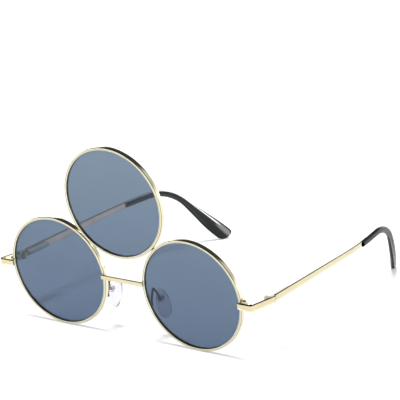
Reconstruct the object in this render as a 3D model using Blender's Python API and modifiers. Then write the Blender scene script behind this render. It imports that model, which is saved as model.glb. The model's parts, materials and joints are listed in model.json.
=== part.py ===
"""Round party glasses with a third lens over the bridge, in gilt wire with spring hinges.

Metres, +Z up. The front faces -Y, the wearer's left is +X. The front is modelled upright in its own
frame, whose origin lies midway between the two lower lens centres, in the plane of the rims' front
faces. The whole thing is then set down on the two lower rims and the two temple tips.
"""

import math

import bmesh
import bpy
import numpy as np
from mathutils import Euler, Matrix, Vector

# Clearances
SEAT_GAP = 0.0003
RUN_GAP = 0.0001
OVERRUN = 0.001
MERGE = 0.000001

# Rims: round wire with a vee groove inside for the lens
LENS_RADIUS = 0.0245
RIM_WALL = 0.0015
RIM_DEPTH = 0.0024
RIM_ROUND = 0.0004
RIM_BREAK = 0.00015
GROOVE_DEEP = 0.00085
GROOVE_WIDE = 0.0010
LENS_GAP = 0.0232
RIM_STEPS = 60

# Lenses: thin domed discs with a vee edge
LENS_THICK = 0.0013
LENS_DOME = 0.0005
LENS_PLAY = 0.00025
DOME_SHARES = (0.0, 0.45, 0.8, 1.0)

# Closing blocks that clamp each rim round its lens
SPLIT = 0.0003
BLOCK_TALL = 0.0016
BLOCK_WIDE = 0.0020
BLOCK_DEEP = 0.0020
BLOCK_BREAK = 0.0002
TOP_BLOCK_ANGLE = math.radians(-54)
SCREW_RADIUS = 0.0005
SCREW_HEAD_RADIUS = 0.0007
SCREW_HEAD = 0.0004
SLOT_WIDE = 0.00025
SLOT_DEEP = 0.0002

# Bridge bar, laid across the front of the two lower rims
BRIDGE_LAP = 0.0012
BRIDGE_TALL = 0.0021
BRIDGE_THICK = 0.0010
BRIDGE_UP = 0.0017
BRIDGE_BREAK = 0.0002

# Endpieces: one flat strip bent from the front round to the hinge
STRIP_THICK = 0.0013
LEG_LAP = 0.0012
CORNER_PAST = 0.00665
CORNER_RADIUS = 0.0017
CORNER_STEPS = 5
FACE_TALL = 0.0028
LEG_TALL = 0.0037
LEG_TOP = 0.00175
LEG_DROP = math.radians(11)
STRIP_BREAK = 0.0002
SEAM_PAST = 0.0035

# Hinge: leaf on the endpiece, eye on the sprung slider
PIN_BACK = 0.0128
HINGE_DROP = math.radians(5.3)
HINGE_RISE = 0.0002
TOE_IN = math.radians(1.0)
BARREL_RADIUS = 0.0010
EYE_TALL = 0.0011
KNUCKLE_TALL = 0.0010
LEAF_THICK = 0.0008
LEAF_LONG = 0.0052
LEAF_TALL = 0.0020
PIN_RADIUS = 0.00042
PIN_HEAD_RADIUS = 0.0008
PIN_HEAD = 0.00040
BARREL_SIDES = 16

# Spring case on the temple, with the slider's shank, ring and coil inside
CASE_THICK = 0.0021
CASE_TALL = 0.0023
CASE_LONG = 0.0145
CASE_START = 0.0028
CASE_BREAK = 0.00035
BORE_RADIUS = 0.0008
BORE_DEEP = 0.0128
SHANK_RADIUS = 0.00030
NECK_WIDE = 0.0007
NECK_TALL = 0.0009
HEAD_RADIUS = 0.0006
HEAD_LONG = 0.0006
RING_LONG = 0.0008
RING_INSET = 0.0003
SPRING_TRAVEL = 0.0006
COIL_WIRE = 0.00012
COIL_TURNS = 6
COIL_POINTS = 7

# Temples: flat strip that runs on as a thin core inside the sleeve
TEMPLE_TALL = 0.0037
MOUTH_TALL = 0.0028
MOUTH_THICK = 0.0009
SLEEVE_START = 0.0770
BEND_START = 0.0885
BEND_RADIUS = 0.0400
BEND_ANGLE = math.radians(49)
TIP_STRAIGHT = 0.0240
BOW_START = 0.0600
BOW_RADIUS = 0.203
# Shares of the strip's run between the seam and the sleeve, closer together where it bows
STRIP_SHARES = (0.0, 0.76, 0.84, 0.92, 1.0)
CORE_TALL = 0.0014
CORE_THICK = 0.0007
CORE_SHORT = 0.0090
NECK_DOWN = 0.0006

# Sleeves: the plastic tips that slide over the cores
SLEEVE_TALL = 0.0031
SLEEVE_WIDE = 0.0024
PADDLE_TALL = 0.0072
PADDLE_WIDE = 0.0029
PADDLE_TWIST = math.radians(15)
PADDLE_SKEW = math.radians(18)
MOUTH_NOTCH = 0.0006
SLEEVE_SIDES = 16
SLEEVE_POWER = 2.4
# Shares of the sleeve's run, and of the way from its slim size to its paddle size, then a closing scale
SLEEVE_SHARES = (
    (0.0, 0.0, 1.0),
    (0.16, 0.0, 1.0),
    (0.24, 0.0, 1.0),
    (0.31, 0.0, 1.0),
    (0.38, 0.01, 1.0),
    (0.45, 0.03, 1.0),
    (0.52, 0.06, 1.0),
    (0.58, 0.11, 1.0),
    (0.64, 0.22, 1.0),
    (0.7, 0.4, 1.0),
    (0.76, 0.63, 1.0),
    (0.82, 0.84, 1.0),
    (0.88, 0.97, 1.0),
    (0.935, 1.0, 0.98),
    (0.967, 1.0, 0.88),
    (0.988, 1.0, 0.68),
    (1.0, 1.0, 0.40),
)

# Nose pads on their wire arms
PAD_TALL = 0.0130
PAD_WIDE = 0.0072
PAD_THICK = 0.0024
PAD_TAPER = 0.30
PAD_OFF = Vector((0.0008, 0.0100, -0.0017))
PAD_TURN = Euler((math.radians(-8), math.radians(-12), math.radians(35)))
BOX_UP = 0.0034
BOX_SIZE = 0.0026
BOX_WALL = 0.0004
BOX_OFF = 0.0006
POST_SIZE = 0.0013
ARM_RADIUS = 0.0005
ARM_BEND = 0.0011
ARM_BEND_STEPS = 4
ARM_FOOT_ANGLE = math.radians(22.3)
ARM_INSET = 0.00017
KNEE_OFF = Vector((-0.0001, 0.0003, 0.0032))
TOP_OFF = Vector((-0.0002, 0.0024, 0.0077))
ARM_ABOVE = 0.0022
ARM_BELOW = 0.0006
PAD_SCREW_RADIUS = 0.0003
PAD_SCREW_HEAD = 0.00065

# How the glasses are set down: the steepest lean looked at, and the halvings of the search
LEAN_LIMIT = math.radians(45)
LEAN_STEPS = 50

# Sizes that follow from those above
RIM_RADIUS = LENS_RADIUS + RIM_WALL
HALF_SPAN = LENS_RADIUS + LENS_GAP / 2
TOP_RISE = math.sqrt((2 * RIM_RADIUS + SEAT_GAP) ** 2 - HALF_SPAN**2)
BRIDGE_HALF = HALF_SPAN - RIM_RADIUS + BRIDGE_LAP
LEG_INNER = HALF_SPAN + RIM_RADIUS - LEG_LAP
CORNER_OUT = HALF_SPAN + RIM_RADIUS + CORNER_PAST
SEAM_BACK = PIN_BACK + SEAM_PAST
PIN_OUT = CORNER_OUT - STRIP_THICK - SEAT_GAP - CASE_THICK / 2
STRIP_MIDDLE = CASE_THICK / 2 + SEAT_GAP + STRIP_THICK / 2
SEAM_RUN = SEAM_PAST + SEAT_GAP / 2
BEND_RUN = BEND_RADIUS * BEND_ANGLE
TIP_RUN = BEND_START + BEND_RUN + TIP_STRAIGHT
SLEEVE_RUN = TIP_RUN - SLEEVE_START
ARM_FOOT = Vector(
    (
        HALF_SPAN - (RIM_RADIUS - ARM_INSET) * math.cos(ARM_FOOT_ANGLE),
        0.0,
        -(RIM_RADIUS - ARM_INSET) * math.sin(ARM_FOOT_ANGLE),
    )
)
PAD_CENTRE = ARM_FOOT + PAD_OFF
PAD_REACH = PAD_THICK / 2 + BOX_OFF + BOX_SIZE / 2

finishes = {}


def clear_scene():
    for thing in list(bpy.data.objects):
        bpy.data.objects.remove(thing)
    for name in ("party_glasses", "cutters"):
        bpy.context.scene.collection.children.link(bpy.data.collections.new(name))


def finish(name, colour, metallic, roughness, alpha=1.0):
    material = bpy.data.materials.new(name)
    material.use_nodes = True
    shader = material.node_tree.nodes["Principled BSDF"]
    shader.inputs["Base Color"].default_value = (*colour, 1.0)
    shader.inputs["Metallic"].default_value = metallic
    shader.inputs["Roughness"].default_value = roughness
    shader.inputs["Alpha"].default_value = alpha
    material.diffuse_color = (*colour, alpha)
    finishes[name] = material


def make_finishes():
    finish("gilt", (0.83, 0.66, 0.36), 1.0, 0.22)
    finish("smoke_lens", (0.11, 0.16, 0.25), 0.0, 0.05, 0.75)
    finish("tip_black", (0.012, 0.012, 0.014), 0.0, 0.18)
    finish("clear_pad", (0.86, 0.87, 0.90), 0.0, 0.25, 0.6)
    finish("spring_steel", (0.55, 0.55, 0.56), 1.0, 0.3)


def link(name, mesh, parent, material):
    piece = bpy.data.objects.new(name, mesh)
    piece.parent = parent
    bpy.data.collections["party_glasses"].objects.link(piece)
    mesh.materials.clear()
    mesh.materials.append(finishes[material])
    return piece


def frame_at(name, parent, place, turn=(0.0, 0.0, 0.0)):
    """An empty that carries pieces: an assembly's own frame or a joint's axis."""
    empty = bpy.data.objects.new(name, None)
    empty.parent = parent
    empty.location = place
    empty.rotation_euler = turn
    bpy.data.collections["party_glasses"].objects.link(empty)
    return empty


def mesh_of(form):
    bmesh.ops.recalc_face_normals(form, faces=form.faces)
    mesh = bpy.data.meshes.new("shape")
    form.to_mesh(mesh)
    form.free()
    return mesh


def box_mesh(low, high):
    """A box between two opposite corners."""
    low = Vector(low)
    high = Vector(high)
    form = bmesh.new()
    bmesh.ops.create_cube(form, size=1.0)
    bmesh.ops.scale(form, vec=high - low, verts=form.verts)
    bmesh.ops.translate(form, vec=(low + high) / 2, verts=form.verts)
    return mesh_of(form)


def rod_mesh(radius, low, high, axis="Z", at=(0.0, 0.0, 0.0), sides=BARREL_SIDES):
    """A round rod along an axis through the point at, from low to high on that axis."""
    form = bmesh.new()
    bmesh.ops.create_cone(form, cap_ends=True, segments=sides, radius1=radius, radius2=radius, depth=high - low)
    bmesh.ops.translate(form, vec=(0.0, 0.0, (low + high) / 2), verts=form.verts)
    turns = {
        "X": Matrix.Rotation(math.radians(90), 4, "Y"),
        "Y": Matrix.Rotation(math.radians(-90), 4, "X"),
        "Z": Matrix.Identity(4),
    }
    bmesh.ops.transform(form, matrix=turns[axis], verts=form.verts)
    bmesh.ops.translate(form, vec=at, verts=form.verts)
    return mesh_of(form)


def loft_mesh(rings):
    """A closed skin through rings of as many points each, with a flat face on both ends."""
    form = bmesh.new()
    rows = [[form.verts.new(point) for point in ring] for ring in rings]
    count = len(rows[0])
    for here, there in zip(rows, rows[1:]):
        for k in range(count):
            after = (k + 1) % count
            form.faces.new((here[k], here[after], there[after], there[k]))
    form.faces.new(rows[0])
    form.faces.new(rows[-1])
    return mesh_of(form)


def boolean(piece, mesh, operation):
    """Cuts or joins a mesh given in the piece's own frame."""
    tool = bpy.data.objects.new(piece.name + "_" + operation.lower(), mesh)
    tool.parent = piece
    tool.hide_render = True
    tool.display_type = "WIRE"
    bpy.data.collections["cutters"].objects.link(tool)
    modifier = piece.modifiers.new(operation.lower(), "BOOLEAN")
    modifier.operation = operation
    modifier.solver = "EXACT"
    modifier.object = tool


def cut(piece, mesh):
    boolean(piece, mesh, "DIFFERENCE")


def join(piece, mesh):
    boolean(piece, mesh, "UNION")


def break_edges(piece, width, segments=1):
    bevel = piece.modifiers.new("edges", "BEVEL")
    bevel.width = width
    bevel.segments = segments
    bevel.limit_method = "ANGLE"


def turned(name, profile, parent, material, closed):
    """A profile of radius and height turned once round its own Z."""
    form = bmesh.new()
    points = [form.verts.new((radius, 0.0, height)) for radius, height in profile]
    for here, there in zip(points, points[1:]):
        form.edges.new((here, there))
    if closed:
        form.edges.new((points[-1], points[0]))
    mesh = bpy.data.meshes.new("shape")
    form.to_mesh(mesh)
    form.free()
    piece = link(name, mesh, parent, material)
    screw = piece.modifiers.new("turn", "SCREW")
    screw.steps = RIM_STEPS
    screw.render_steps = RIM_STEPS
    screw.use_merge_vertices = True
    screw.merge_threshold = MERGE
    screw.use_smooth_shade = True
    return piece


def curve_mesh(points, radius, bevel_resolution):
    """A round wire through the points, as a closed mesh."""
    curve = bpy.data.curves.new("wire", "CURVE")
    curve.dimensions = "3D"
    curve.bevel_depth = radius
    curve.bevel_resolution = bevel_resolution
    curve.use_fill_caps = True
    spline = curve.splines.new("POLY")
    spline.points.add(len(points) - 1)
    for slot, point in zip(spline.points, points):
        slot.co = (*point, 1.0)
    return solid_from_curve(curve)


def plate_mesh(outline, tall):
    """A flat outline in X and Y with thickness along Z, as a closed mesh."""
    curve = bpy.data.curves.new("outline", "CURVE")
    curve.dimensions = "2D"
    curve.fill_mode = "BOTH"
    curve.extrude = tall / 2
    spline = curve.splines.new("POLY")
    spline.use_cyclic_u = True
    spline.points.add(len(outline) - 1)
    for slot, (x, y) in zip(spline.points, outline):
        slot.co = (x, y, 0.0, 1.0)
    return solid_from_curve(curve)


def solid_from_curve(curve):
    guide = bpy.data.objects.new("guide", curve)
    bpy.context.scene.collection.objects.link(guide)
    bpy.context.view_layer.update()
    graph = bpy.context.evaluated_depsgraph_get()
    mesh = bpy.data.meshes.new_from_object(guide.evaluated_get(graph))
    bpy.data.objects.remove(guide)
    form = bmesh.new()
    form.from_mesh(mesh)
    bmesh.ops.remove_doubles(form, verts=form.verts, dist=MERGE)
    return mesh_of(form)


def arc(centre, radius, start, end, steps):
    """Points of an arc in X and Y, from one angle to another."""
    return [
        (centre[0] + radius * math.cos(angle), centre[1] + radius * math.sin(angle))
        for angle in np.linspace(start, end, steps + 1)
    ]


def rim(name, centre, front, split_angle):
    """A rim on its lens centre: it faces +Z in its own frame, and is split where the block closes it."""
    holder = frame_at(name + "_frame", front, centre, (math.radians(90), 0.0, 0.0))
    wall = LENS_RADIUS + RIM_BREAK
    middle = RIM_DEPTH / 2
    shoulder = RIM_ROUND * (1 - math.sqrt(0.5))
    profile = [
        (wall, 0.0),
        (RIM_RADIUS - RIM_ROUND, 0.0),
        (RIM_RADIUS - shoulder, -shoulder),
        (RIM_RADIUS, -RIM_ROUND),
        (RIM_RADIUS, RIM_ROUND - RIM_DEPTH),
        (RIM_RADIUS - shoulder, shoulder - RIM_DEPTH),
        (RIM_RADIUS - RIM_ROUND, -RIM_DEPTH),
        (wall, -RIM_DEPTH),
        (LENS_RADIUS, RIM_BREAK - RIM_DEPTH),
        (LENS_RADIUS, -middle - GROOVE_WIDE / 2),
        (LENS_RADIUS + GROOVE_DEEP, -middle),
        (LENS_RADIUS, GROOVE_WIDE / 2 - middle),
        (LENS_RADIUS, -RIM_BREAK),
    ]
    ring = turned(name, profile, holder, "gilt", closed=True)
    slot = box_mesh(
        (LENS_RADIUS - OVERRUN, -SPLIT / 2, -RIM_DEPTH - OVERRUN),
        (RIM_RADIUS + OVERRUN, SPLIT / 2, OVERRUN),
    )
    slot.transform(Matrix.Rotation(split_angle, 4, "Z"))
    cut(ring, slot)
    return holder


def lens(name, holder):
    """A domed disc whose vee edge runs in the rim's groove."""
    middle = RIM_DEPTH / 2
    edge = LENS_RADIUS - LENS_PLAY
    vee = LENS_RADIUS + GROOVE_DEEP - SEAT_GAP
    sag = [LENS_DOME * (1 - share**2) for share in DOME_SHARES]
    front_face = [(edge * share, LENS_THICK / 2 - middle + rise) for share, rise in zip(DOME_SHARES, sag)]
    rear_face = [(radius, height - LENS_THICK) for radius, height in reversed(front_face)]
    turned(name, [*front_face, (vee, -middle), *rear_face], holder, "smoke_lens", closed=False)


def closing_block(name, holder, angle, centre_radius, depth_centre, hug):
    """Two block halves with a screw through them, beside or behind the rim's split.

    The halves meet along the split. Each has its own Z along the rim's tangent, with the screw on it.
    """
    seat = frame_at(name + "_block_frame", holder, (0.0, 0.0, 0.0), (0.0, 0.0, angle))
    at = (centre_radius, 0.0, depth_centre)
    halves = (("upper", 1), ("lower", -1))
    for word, sign in halves:
        near = sign * SPLIT / 2
        far = sign * (SPLIT / 2 + BLOCK_TALL)
        low = (centre_radius - BLOCK_WIDE / 2, min(near, far), depth_centre - BLOCK_DEEP / 2)
        high = (centre_radius + BLOCK_WIDE / 2, max(near, far), depth_centre + BLOCK_DEEP / 2)
        half = link(f"closing_block_{word}_{name}", box_mesh(low, high), seat, "gilt")
        break_edges(half, BLOCK_BREAK)
        if hug:
            cut(half, rod_mesh(RIM_RADIUS + SEAT_GAP, -RIM_DEPTH - OVERRUN, OVERRUN, sides=4 * RIM_STEPS))
        bore = SCREW_RADIUS + RUN_GAP
        cut(half, rod_mesh(bore, -BLOCK_TALL - OVERRUN, BLOCK_TALL + OVERRUN, "Y", at, BARREL_SIDES))
    top = SPLIT / 2 + BLOCK_TALL + RUN_GAP
    screw = link(
        f"closing_screw_{name}",
        rod_mesh(SCREW_RADIUS, -BLOCK_TALL, top + SCREW_HEAD / 2, "Y", at, BARREL_SIDES),
        seat,
        "gilt",
    )
    join(screw, rod_mesh(SCREW_HEAD_RADIUS, top, top + SCREW_HEAD, "Y", at, BARREL_SIDES))
    cut(
        screw,
        box_mesh(
            (at[0] - OVERRUN, top + SCREW_HEAD - SLOT_DEEP, at[2] - SLOT_WIDE / 2),
            (at[0] + OVERRUN, top + SCREW_HEAD + OVERRUN, at[2] + SLOT_WIDE / 2),
        ),
    )


def bridge(front):
    back = -SEAT_GAP
    low = (-BRIDGE_HALF, back - BRIDGE_THICK, BRIDGE_UP - BRIDGE_TALL / 2)
    high = (BRIDGE_HALF, back, BRIDGE_UP + BRIDGE_TALL / 2)
    bar = link("bridge_bar", box_mesh(low, high), front, "gilt")
    break_edges(bar, BRIDGE_BREAK)


def endpiece(front):
    """A flat strip that grows taller to its corner, and whose return leg slopes down to the hinge."""
    back = -SEAT_GAP
    face = back - STRIP_THICK
    inner = CORNER_RADIUS - STRIP_THICK
    centre = (CORNER_OUT - CORNER_RADIUS, face + CORNER_RADIUS)
    end = SEAM_BACK - SEAT_GAP / 2
    quarter = math.radians(90)
    outline = [
        (LEG_INNER, back),
        (LEG_INNER, face),
        *arc(centre, CORNER_RADIUS, -quarter, 0.0, CORNER_STEPS),
        (CORNER_OUT, end),
        (CORNER_OUT - STRIP_THICK, end),
        *arc(centre, inner, 0.0, -quarter, CORNER_STEPS),
    ]
    mesh = plate_mesh(outline, LEG_TALL)
    for corner in mesh.vertices:
        share = min(1.0, (corner.co.x - LEG_INNER) / (centre[0] - LEG_INNER))
        tall = FACE_TALL + (LEG_TALL - FACE_TALL) * share
        corner.co.z = LEG_TOP if corner.co.z > 0 else LEG_TOP - tall
        corner.co.z -= math.tan(LEG_DROP) * max(0.0, corner.co.y - back)
    piece = link("endpiece_left", mesh, front, "gilt")
    break_edges(piece, STRIP_BREAK)
    return piece


def hinge_leaf(hinge):
    """The plate on the endpiece with the two outer knuckles."""
    outer = STRIP_MIDDLE - STRIP_THICK / 2 - SEAT_GAP
    inner = outer - LEAF_THICK
    clear = BARREL_RADIUS + SEAT_GAP / 2
    plate = box_mesh(
        (inner, -clear - LEAF_LONG, -LEAF_TALL / 2),
        (outer, -clear, LEAF_TALL / 2),
    )
    leaf = link("hinge_leaf_left", plate, hinge, "gilt")
    low = EYE_TALL / 2 + RUN_GAP
    high = low + KNUCKLE_TALL
    for sign in (1, -1):
        ends = sorted((sign * low, sign * high))
        lug = box_mesh((inner, -clear - KNUCKLE_TALL, ends[0]), (outer, 0.0, ends[1]))
        join(leaf, lug)
        join(leaf, rod_mesh(BARREL_RADIUS, *ends))
    cut(leaf, rod_mesh(PIN_RADIUS + RUN_GAP, -high - OVERRUN, high + OVERRUN))
    return leaf


def hinge_screw(hinge):
    reach = EYE_TALL / 2 + RUN_GAP + KNUCKLE_TALL
    top = reach + RUN_GAP
    screw = link("hinge_screw_left", rod_mesh(PIN_RADIUS, -reach, top + PIN_HEAD / 2), hinge, "gilt")
    join(screw, rod_mesh(PIN_HEAD_RADIUS, top, top + PIN_HEAD))
    slot = box_mesh(
        (-OVERRUN, -SLOT_WIDE / 2, top + PIN_HEAD - SLOT_DEEP),
        (OVERRUN, SLOT_WIDE / 2, top + PIN_HEAD + OVERRUN),
    )
    cut(screw, slot)
    return screw


def hinge_slider(hinge):
    """The middle knuckle with its neck, and the shank and rivet head that the spring acts on."""
    slider = link("hinge_slider_left", rod_mesh(BARREL_RADIUS, -EYE_TALL / 2, EYE_TALL / 2), hinge, "spring_steel")
    neck_end = CASE_START - SEAT_GAP
    join(
        slider,
        box_mesh((-NECK_WIDE / 2, BARREL_RADIUS / 2, -NECK_TALL / 2), (NECK_WIDE / 2, neck_end, NECK_TALL / 2)),
    )
    head_end = CASE_START + BORE_DEEP - SEAT_GAP
    shank_end = head_end - HEAD_LONG / 2
    join(slider, rod_mesh(SHANK_RADIUS, neck_end - NECK_WIDE, shank_end, "Y", sides=BARREL_SIDES // 2))
    join(slider, rod_mesh(HEAD_RADIUS, head_end - HEAD_LONG, head_end, "Y"))
    cut(slider, rod_mesh(PIN_RADIUS + RUN_GAP, -EYE_TALL, EYE_TALL))
    return slider


def spring_case(carrier):
    low = (-CASE_THICK / 2, CASE_START, -CASE_TALL / 2)
    high = (CASE_THICK / 2, CASE_START + CASE_LONG, CASE_TALL / 2)
    case = link("spring_case_left", box_mesh(low, high), carrier, "gilt")
    break_edges(case, CASE_BREAK, 2)
    cut(case, rod_mesh(BORE_RADIUS, CASE_START - OVERRUN, CASE_START + BORE_DEEP, "Y"))
    return case


def lock_ring(carrier):
    """The ring in the case's mouth that holds the spring in."""
    start = CASE_START + RING_INSET
    ring = link(
        "spring_lock_ring_left",
        rod_mesh(BORE_RADIUS - RUN_GAP, start, start + RING_LONG, "Y"),
        carrier,
        "spring_steel",
    )
    cut(ring, rod_mesh(SHANK_RADIUS + RUN_GAP, start - OVERRUN, start + RING_LONG + OVERRUN, "Y"))
    return ring


def coil_spring(carrier):
    """A coil from the ring back to the travel that it leaves before the slider's head."""
    start = CASE_START + RING_INSET + RING_LONG + RUN_GAP + COIL_WIRE
    head_front = CASE_START + BORE_DEEP - SEAT_GAP - HEAD_LONG
    end = head_front - SPRING_TRAVEL - RUN_GAP - COIL_WIRE
    radius = BORE_RADIUS - RUN_GAP - COIL_WIRE
    count = COIL_TURNS * COIL_POINTS
    points = []
    for k in range(count + 1):
        turn = 2 * math.pi * k / COIL_POINTS
        points.append((radius * math.cos(turn), start + (end - start) * k / count, radius * math.sin(turn)))
    line = np.array(points)
    length = np.linalg.norm(np.diff(line, axis=0), axis=1).sum()
    apart = min(np.linalg.norm(line[COIL_POINTS:] - line[:-COIL_POINTS], axis=1)) - 2 * COIL_WIRE
    print("spring: wire length", round(float(length), 5), "least gap between turns", round(float(apart), 5))
    return link("hinge_spring_left", curve_mesh(points, COIL_WIRE, 1), carrier, "spring_steel")


def temple_line(run):
    """The temple's centre line at a run behind the pin: its point and its downward pitch."""
    bent = min(max(run - BEND_START, 0.0), BEND_RUN)
    pitch = bent / BEND_RADIUS
    rest = max(run - BEND_START - BEND_RUN, 0.0)
    back = min(run, BEND_START) + BEND_RADIUS * math.sin(pitch) + rest * math.cos(BEND_ANGLE)
    down = BEND_RADIUS * (1 - math.cos(pitch)) + rest * math.sin(BEND_ANGLE)
    inward = max(run - BOW_START, 0.0) ** 2 / (2 * BOW_RADIUS)
    return Vector((STRIP_MIDDLE - inward, back, -HINGE_RISE - down)), pitch


def temple_axes(run, twist):
    """The side and up directions of a section of the temple, square to its centre line."""
    point, pitch = temple_line(run)
    ahead = temple_line(run + OVERRUN)[0]
    forward = (ahead - point).normalized()
    up = Vector((0.0, math.sin(pitch), math.cos(pitch)))
    side = forward.cross(up).normalized()
    up = side.cross(forward)
    turned_up = up * math.cos(twist) - side * math.sin(twist)
    turned_side = side * math.cos(twist) + up * math.sin(twist)
    return point, forward, turned_side, turned_up


def flat_section(run, tall, thick, chamfer):
    """Eight points of a flat strip's section with broken corners."""
    point, _, side, up = temple_axes(run, 0.0)
    half_tall = tall / 2
    half_thick = thick / 2
    corners = (
        (half_thick, half_tall - chamfer),
        (half_thick - chamfer, half_tall),
        (chamfer - half_thick, half_tall),
        (-half_thick, half_tall - chamfer),
        (-half_thick, chamfer - half_tall),
        (chamfer - half_thick, -half_tall),
        (half_thick - chamfer, -half_tall),
        (half_thick, chamfer - half_tall),
    )
    return [point + side * out + up * high for out, high in corners]


def core_runs():
    """Runs of the core's sections from the sleeve's mouth to its end, closer together in the bend."""
    end = TIP_RUN - CORE_SHORT
    bend = [BEND_START + BEND_RUN * k / 4 for k in range(5)]
    return [SLEEVE_START + NECK_DOWN, *bend, (bend[-1] + end) / 2, end]


def temple(carrier):
    rings = []
    for share in STRIP_SHARES:
        run = SEAM_RUN + (SLEEVE_START - SEAT_GAP - SEAM_RUN) * share
        tall = TEMPLE_TALL + (MOUTH_TALL - TEMPLE_TALL) * share
        thick = STRIP_THICK + (MOUTH_THICK - STRIP_THICK) * share
        rings.append(flat_section(run, tall, thick, STRIP_BREAK))
    rings += [flat_section(run, CORE_TALL, CORE_THICK, STRIP_BREAK) for run in core_runs()]
    return link("temple_left", loft_mesh(rings), carrier, "gilt")


def sleeve_section(run_share, paddle_share, scale):
    """A rounded section of the sleeve; past the slim part it is turned and its end runs oblique."""
    run = SLEEVE_START + SLEEVE_RUN * run_share
    tall = (SLEEVE_TALL + (PADDLE_TALL - SLEEVE_TALL) * paddle_share) * scale
    wide = (SLEEVE_WIDE + (PADDLE_WIDE - SLEEVE_WIDE) * paddle_share) * scale
    twist = PADDLE_TWIST * paddle_share
    point, forward, side, up = temple_axes(run, twist)
    notch = MOUTH_NOTCH if run_share == 0.0 else 0.0
    skew = math.tan(PADDLE_SKEW) * paddle_share**2
    section = []
    for k in range(SLEEVE_SIDES):
        angle = 2 * math.pi * (k + 0.5) / SLEEVE_SIDES
        across = math.copysign(abs(math.cos(angle)) ** (2 / SLEEVE_POWER), math.cos(angle))
        high = math.copysign(abs(math.sin(angle)) ** (2 / SLEEVE_POWER), math.sin(angle))
        shift = notch * (1 - high**2) + skew * high * tall / 2
        section.append(point + side * across * wide / 2 + up * high * tall / 2 + forward * shift)
    return section


def temple_tip(carrier):
    """The sleeve with the blind bore that the core fills."""
    sleeve = link(
        "temple_tip_left", loft_mesh([sleeve_section(*shares) for shares in SLEEVE_SHARES]), carrier, "tip_black"
    )
    runs = [SLEEVE_START - OVERRUN, *core_runs()[1:-1], TIP_RUN - CORE_SHORT + SEAT_GAP]
    bore = [flat_section(run, CORE_TALL + SEAT_GAP, CORE_THICK + SEAT_GAP, STRIP_BREAK) for run in runs]
    cut(sleeve, loft_mesh(bore))
    return sleeve


def rounded_path(corners, radius, steps):
    """Straight runs between the corners, joined by arcs that touch both neighbours."""
    path = [corners[0]]
    for before, corner, after in zip(corners, corners[1:], corners[2:]):
        back = (before - corner).normalized()
        ahead = (after - corner).normalized()
        half = back.angle(ahead) / 2
        reach = radius / math.tan(half)
        centre = corner + (back + ahead).normalized() * radius / math.sin(half)
        start = corner + back * reach - centre
        end = corner + ahead * reach - centre
        swing = start.angle(end)
        for k in range(steps + 1):
            share = k / steps
            weight_end = math.sin(share * swing) / math.sin(swing)
            weight_start = math.sin((1 - share) * swing) / math.sin(swing)
            path.append(centre + start * weight_start + end * weight_end)
    path.append(corners[-1])
    return path


def pad_frame(front):
    """The pad's own frame at its rocking axis: X across the pad, Y out of its face to the nose."""
    place = PAD_CENTRE + PAD_TURN.to_matrix() @ Vector((0.0, -PAD_REACH, BOX_UP))
    return frame_at("pad_frame_left", front, place, PAD_TURN)


def nose_pad(holder):
    """A soft drop-shaped pad with the post that its box holds."""
    form = bmesh.new()
    bmesh.ops.create_uvsphere(form, u_segments=16, v_segments=9, radius=0.5)
    for corner in form.verts:
        share = corner.co.z
        corner.co.x *= PAD_WIDE * (1 - PAD_TAPER * share)
        corner.co.y *= PAD_THICK
        corner.co.z *= PAD_TALL
    bmesh.ops.translate(form, vec=(0.0, PAD_REACH, -BOX_UP), verts=form.verts)
    pad = link("nose_pad_left", mesh_of(form), holder, "clear_pad")
    half = POST_SIZE / 2
    join(pad, box_mesh((-half, -half, -half), (half, PAD_REACH, half)))
    hole = PAD_SCREW_RADIUS + RUN_GAP
    cut(pad, rod_mesh(hole, -BOX_SIZE, BOX_SIZE, "X", sides=BARREL_SIDES // 2))
    return pad


def pad_box(holder):
    """The small open box on the arm's end that holds the pad's post."""
    half = BOX_SIZE / 2
    box = link("pad_box_left", box_mesh((-half, -half, -half), (half, half, half)), holder, "gilt")
    mouth = POST_SIZE / 2 + SEAT_GAP
    cut(box, box_mesh((-mouth, BOX_WALL - half, -half - OVERRUN), (mouth, half + OVERRUN, half + OVERRUN)))
    cut(box, rod_mesh(PAD_SCREW_RADIUS + RUN_GAP, -BOX_SIZE, BOX_SIZE, "X", sides=BARREL_SIDES // 2))
    return box


def pad_screw(holder):
    half = BOX_SIZE / 2
    end = half + RUN_GAP
    screw = link(
        "pad_screw_left", rod_mesh(PAD_SCREW_RADIUS, -half, end + RUN_GAP, "X", sides=BARREL_SIDES // 2), holder, "gilt"
    )
    join(screw, rod_mesh(PAD_SCREW_HEAD, end, end + PAD_SCREW_HEAD / 2, "X", sides=BARREL_SIDES // 2))
    return screw


def pad_arm(front, box_place):
    """The wire from the rim's back, up and over to the pad's box."""
    rear = RIM_DEPTH + SEAT_GAP + ARM_RADIUS
    shift = Vector((0.0, rear, 0.0))
    behind = -BOX_SIZE / 2 - SEAT_GAP - ARM_RADIUS
    turn = PAD_TURN.to_matrix()
    above = box_place + turn @ Vector((0.0, behind, ARM_ABOVE))
    end = box_place + turn @ Vector((0.0, behind, -ARM_BELOW))
    foot = ARM_FOOT + shift
    corners = [foot, foot + KNEE_OFF, foot + TOP_OFF, above, end]
    path = rounded_path(corners, ARM_BEND, ARM_BEND_STEPS)
    return link("pad_arm_left", curve_mesh(path, ARM_RADIUS, 2), front, "gilt")


def mirror_piece(piece, parent):
    """The right-hand twin of a left-hand piece, in the mirrored frame."""
    graph = bpy.context.evaluated_depsgraph_get()
    mesh = bpy.data.meshes.new_from_object(piece.evaluated_get(graph))
    mesh.transform(Matrix.Scale(-1, 4, (1, 0, 0)))
    mesh.flip_normals()
    material = piece.data.materials[0].name
    return link(piece.name.replace("left", "right"), mesh, parent, material)


def mirror_frame(empty, parent):
    turn = empty.rotation_euler
    place = empty.location
    name = empty.name.replace("left", "right")
    return frame_at(name, parent, (-place.x, place.y, place.z), (turn.x, -turn.y, -turn.z))


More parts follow.
